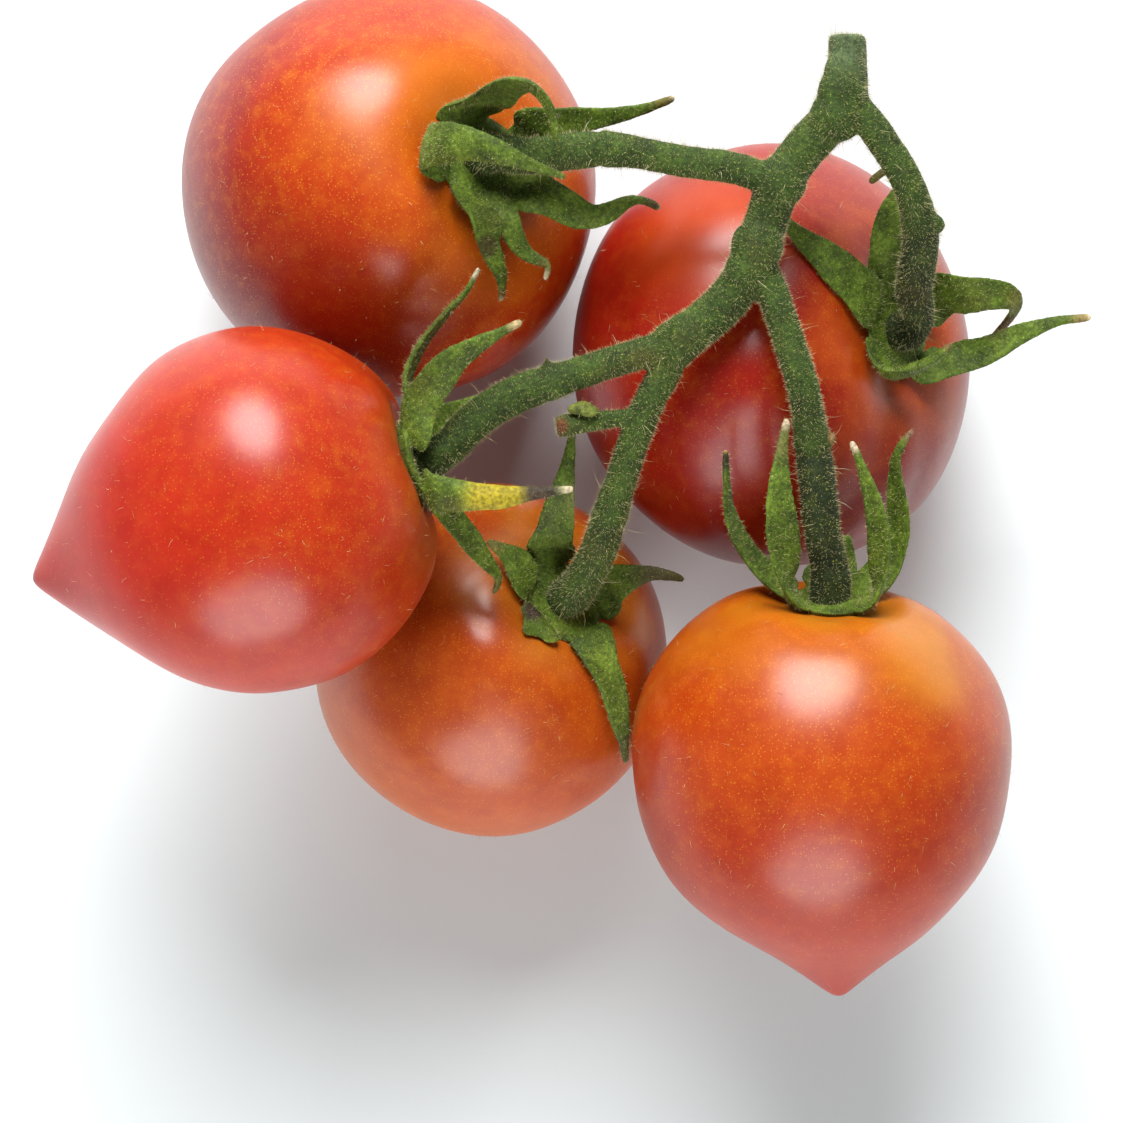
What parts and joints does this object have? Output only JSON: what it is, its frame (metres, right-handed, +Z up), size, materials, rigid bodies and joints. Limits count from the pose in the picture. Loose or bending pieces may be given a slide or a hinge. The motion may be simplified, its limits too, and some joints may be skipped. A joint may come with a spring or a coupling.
{
  "type": "truss of tomatoes on the vine",
  "caption": "Cut truss of beaked cherry tomatoes on a hairy green vine with curled sepals, lying on a table.",
  "frame": {"origin": "on the surface that the truss rests on, under the middle of its bounding box", "axes": "+Z up off the table, +Y towards the cut end of the vine, +X to the right seen from above"},
  "size_m": [0.0922, 0.0912, 0.0549],
  "materials": {
    "tomato_back_left_skin": "waxy ripe tomato skin, satin gloss",
    "tomato_back_right_skin": "waxy ripe tomato skin, satin gloss",
    "tomato_centre_skin": "waxy ripe tomato skin, satin gloss",
    "tomato_left_skin": "waxy ripe tomato skin, satin gloss",
    "tomato_front_right_skin": "waxy ripe tomato skin, satin gloss",
    "vine": "green hairy stalk, matt",
    "pedicel": "dark green hairy stalk, matt",
    "sepal": "green hairy leaf with dry tips, matt",
    "withered_flower": "dry brown green leaf, matt"
  },
  "bodies": {
    "root": {"pedicel_back_left": "pedicel", "pedicel_back_right": "pedicel", "pedicel_centre": "pedicel", "pedicel_front_right": "pedicel", "pedicel_left": "pedicel", "sepal_back_left_1": "sepal", "sepal_back_left_2": "sepal", "sepal_back_left_3": "sepal", "sepal_back_left_4": "sepal", "sepal_back_left_5": "sepal", "sepal_back_left_6": "sepal", "sepal_back_right_1": "sepal", "sepal_back_right_2": "sepal", "sepal_back_right_3": "sepal", "sepal_back_right_4": "sepal", "sepal_back_right_5": "sepal", "sepal_centre_1": "sepal", "sepal_centre_2": "sepal", "sepal_centre_3": "sepal", "sepal_centre_4": "sepal", "sepal_centre_5": "sepal", "sepal_front_right_1": "sepal", "sepal_front_right_2": "sepal", "sepal_front_right_3": "sepal", "sepal_front_right_4": "sepal", "sepal_front_right_5": "sepal", "sepal_left_1": "sepal", "sepal_left_2": "sepal", "sepal_left_3": "sepal", "sepal_left_4": "sepal", "sepal_left_5": "sepal", "tomato_back_left": "tomato_back_left_skin", "tomato_back_right": "tomato_back_right_skin", "tomato_centre": "tomato_centre_skin", "tomato_front_right": "tomato_front_right_skin", "tomato_left": "tomato_left_skin", "vine": "vine", "withered_flower": "withered_flower"}
  },
  "joints": []
}
